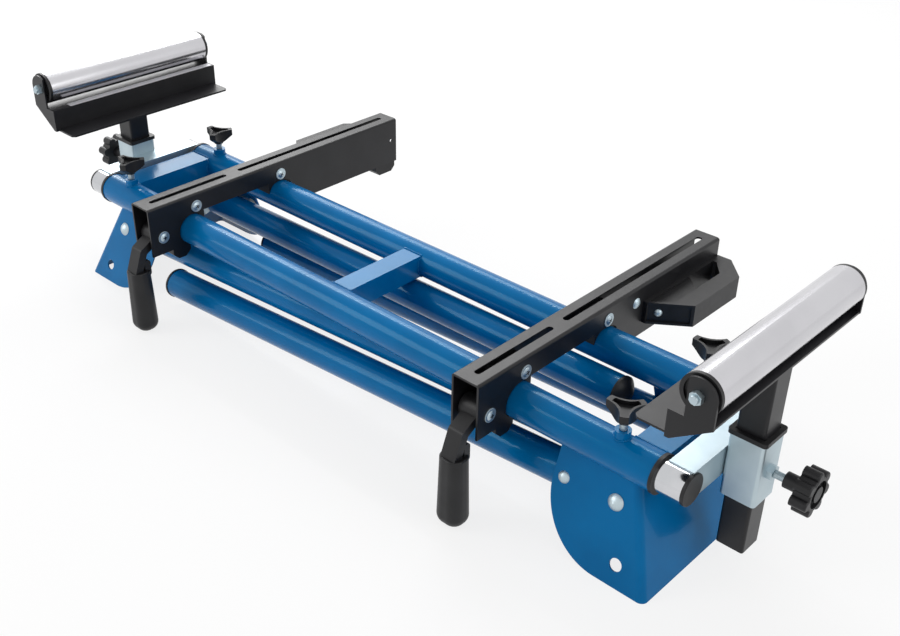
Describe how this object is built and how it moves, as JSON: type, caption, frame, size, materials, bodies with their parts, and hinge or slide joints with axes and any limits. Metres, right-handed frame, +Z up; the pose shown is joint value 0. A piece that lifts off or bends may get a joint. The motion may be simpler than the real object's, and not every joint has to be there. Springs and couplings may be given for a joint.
{
  "type": "folding machine stand",
  "caption": "Folding machine stand lying on its end brackets with legs folded, slotted cross rails, pull-out roller supports and clamp levers.",
  "frame": {"origin": "on the floor, under the middle of the whole outline", "axes": "+X along the main tubes towards the end whose legs fold outermost, +Y towards the carry handles, -Y towards the clamp levers, +Z up"},
  "size_m": [1.1952, 0.486, 0.3009],
  "materials": {
    "blue_paint": "glossy paint",
    "black_paint": "satin powder coat",
    "chrome": "polished chrome",
    "zinc_plate": "bright zinc",
    "roller_steel": "satin metal",
    "black_plastic": "matt plastic"
  },
  "bodies": {
    "frame": {"main_tube_front": "blue_paint", "main_tube_back": "blue_paint", "mid_crossbar": "blue_paint", "end_crossbars": "blue_paint", "left_end_bracket": "blue_paint", "right_end_bracket": "blue_paint", "tube_bushings": "black_plastic", "leg_pivot_bolts": "zinc_plate", "clamp_bosses": "blue_paint", "inner_front_leg": "blue_paint", "inner_back_leg": "blue_paint", "inner_leg_feet": "black_plastic"},
    "outer_front_leg": {"outer_front_leg": "blue_paint", "outer_front_foot": "black_plastic"},
    "left_front_lock_button": {"left_front_lock_button": "zinc_plate"},
    "left_front_wing_knob": {"left_front_wing_knob": "black_plastic"},
    "right_front_lock_button": {"right_front_lock_button": "zinc_plate"},
    "right_front_wing_knob": {"right_front_wing_knob": "black_plastic"},
    "outer_back_leg": {"outer_back_leg": "blue_paint", "outer_back_foot": "black_plastic"},
    "left_back_lock_button": {"left_back_lock_button": "zinc_plate"},
    "left_back_wing_knob": {"left_back_wing_knob": "black_plastic"},
    "right_back_lock_button": {"right_back_lock_button": "zinc_plate"},
    "right_back_wing_knob": {"right_back_wing_knob": "black_plastic"},
    "left_rail": {"left_rail": "black_paint", "left_rail_saddles": "black_plastic", "left_rail_bolts": "zinc_plate", "left_carry_handle": "black_plastic", "left_rear_foot": "black_plastic"},
    "left_clamp_lever": {"left_clamp_lever": "black_plastic"},
    "left_clamp_jaw": {"left_clamp_jaw": "black_paint"},
    "left_extension": {"left_slide_tubes": "chrome", "left_slide_caps": "black_plastic", "left_end_bar": "zinc_plate", "left_socket": "zinc_plate", "left_collar": "black_plastic"},
    "left_post": {"left_post": "black_paint", "left_roller_bracket": "black_paint", "left_roller_axle": "zinc_plate"},
    "left_roller": {"left_roller_sleeve": "roller_steel", "left_roller_caps": "black_plastic"},
    "left_star_knob": {"left_star_knob": "black_plastic"},
    "right_rail": {"right_rail": "black_paint", "right_rail_saddles": "black_plastic", "right_rail_bolts": "zinc_plate", "right_carry_handle": "black_plastic", "right_rear_foot": "black_plastic"},
    "right_clamp_lever": {"right_clamp_lever": "black_plastic"},
    "right_clamp_jaw": {"right_clamp_jaw": "black_paint"},
    "right_extension": {"right_slide_tubes": "chrome", "right_slide_caps": "black_plastic", "right_end_bar": "zinc_plate", "right_socket": "zinc_plate", "right_collar": "black_plastic"},
    "right_post": {"right_post": "black_paint", "right_roller_bracket": "black_paint", "right_roller_axle": "zinc_plate"},
    "right_roller": {"right_roller_sleeve": "roller_steel", "right_roller_caps": "black_plastic"},
    "right_star_knob": {"right_star_knob": "black_plastic"}
  },
  "joints": [
    {"name": "outer_front_leg_fold", "type": "hinge", "parent": "frame", "child": "outer_front_leg", "pos_m": [0.4345, -0.13915, 0.07422], "axis": [0, -0.9466, 0.3223], "range_deg": [0, 104.7]},
    {"name": "left_front_lock_button_press", "type": "slide", "parent": "frame", "child": "left_front_lock_button", "axis": [0, 0.9466, -0.3223], "range_m": [0, 0.005], "stiffness_N_per_m": 400},
    {"name": "left_front_wing_knob_turn", "type": "hinge", "parent": "frame", "child": "left_front_wing_knob", "pos_m": [-0.4235, -0.14465, 0.13], "axis": [0, 0, 1], "continuous": true},
    {"name": "right_front_lock_button_press", "type": "slide", "parent": "frame", "child": "right_front_lock_button", "axis": [0, 0.9466, -0.3223], "range_m": [0, 0.005], "stiffness_N_per_m": 400},
    {"name": "right_front_wing_knob_turn", "type": "hinge", "parent": "frame", "child": "right_front_wing_knob", "pos_m": [0.4235, -0.14465, 0.13], "axis": [0, 0, 1], "continuous": true},
    {"name": "outer_back_leg_fold", "type": "hinge", "parent": "frame", "child": "outer_back_leg", "pos_m": [0.4345, 0.00485, 0.07422], "axis": [0, -0.9466, -0.3223], "range_deg": [0, 104.7]},
    {"name": "left_back_lock_button_press", "type": "slide", "parent": "frame", "child": "left_back_lock_button", "axis": [0, -0.9466, -0.3223], "range_m": [0, 0.005], "stiffness_N_per_m": 400},
    {"name": "left_back_wing_knob_turn", "type": "hinge", "parent": "frame", "child": "left_back_wing_knob", "pos_m": [-0.4235, 0.01035, 0.13], "axis": [0, 0, 1], "continuous": true},
    {"name": "right_back_lock_button_press", "type": "slide", "parent": "frame", "child": "right_back_lock_button", "axis": [0, -0.9466, -0.3223], "range_m": [0, 0.005], "stiffness_N_per_m": 400},
    {"name": "right_back_wing_knob_turn", "type": "hinge", "parent": "frame", "child": "right_back_wing_knob", "pos_m": [0.4235, 0.01035, 0.13], "axis": [0, 0, 1], "continuous": true},
    {"name": "left_rail_slide", "type": "slide", "parent": "frame", "child": "left_rail", "axis": [1, 0, 0], "range_m": [-0.035, 0.18]},
    {"name": "left_clamp_lever_swing", "type": "hinge", "parent": "left_rail", "child": "left_clamp_lever", "pos_m": [-0.3, -0.19335, 0.135], "axis": [-1, 0, 0], "range_deg": [0, 100]},
    {"name": "left_clamp_jaw_drop", "type": "slide", "parent": "left_rail", "child": "left_clamp_jaw", "axis": [0, 0, -1], "range_m": [0, 0.004]},
    {"name": "left_extension_slide", "type": "slide", "parent": "frame", "child": "left_extension", "axis": [-1, 0, 0], "range_m": [0, 0.225]},
    {"name": "left_post_lift", "type": "slide", "parent": "left_extension", "child": "left_post", "axis": [0, 0, 1], "range_m": [-0.028, 0.06]},
    {"name": "left_roller_spin", "type": "hinge", "parent": "left_post", "child": "left_roller", "pos_m": [-0.52855, -0.06715, 0.2798], "axis": [0, 1, 0], "continuous": true},
    {"name": "left_star_knob_turn", "type": "hinge", "parent": "left_extension", "child": "left_star_knob", "pos_m": [-0.52585, -0.06715, 0.13], "axis": [1, 0, 0], "continuous": true},
    {"name": "right_rail_slide", "type": "slide", "parent": "frame", "child": "right_rail", "axis": [1, 0, 0], "range_m": [-0.18, 0.055]},
    {"name": "right_clamp_lever_swing", "type": "hinge", "parent": "right_rail", "child": "right_clamp_lever", "pos_m": [0.2742, -0.19335, 0.135], "axis": [-1, 0, 0], "range_deg": [0, 100]},
    {"name": "right_clamp_jaw_drop", "type": "slide", "parent": "right_rail", "child": "right_clamp_jaw", "axis": [0, 0, -1], "range_m": [0, 0.004]},
    {"name": "right_extension_slide", "type": "slide", "parent": "frame", "child": "right_extension", "axis": [1, 0, 0], "range_m": [0, 0.225]},
    {"name": "right_post_lift", "type": "slide", "parent": "right_extension", "child": "right_post", "axis": [0, 0, 1], "range_m": [-0.028, 0.06]},
    {"name": "right_roller_spin", "type": "hinge", "parent": "right_post", "child": "right_roller", "pos_m": [0.52855, -0.06715, 0.2798], "axis": [0, 1, 0], "continuous": true},
    {"name": "right_star_knob_turn", "type": "hinge", "parent": "right_extension", "child": "right_star_knob", "pos_m": [0.52585, -0.06715, 0.13], "axis": [1, 0, 0], "continuous": true}
  ],
  "couplings": [
    {"joint": "left_clamp_jaw_drop", "follows": "left_clamp_lever_swing", "m_per_rad": 0.0022916},
    {"joint": "right_clamp_jaw_drop", "follows": "right_clamp_lever_swing", "m_per_rad": 0.0022916}
  ]
}
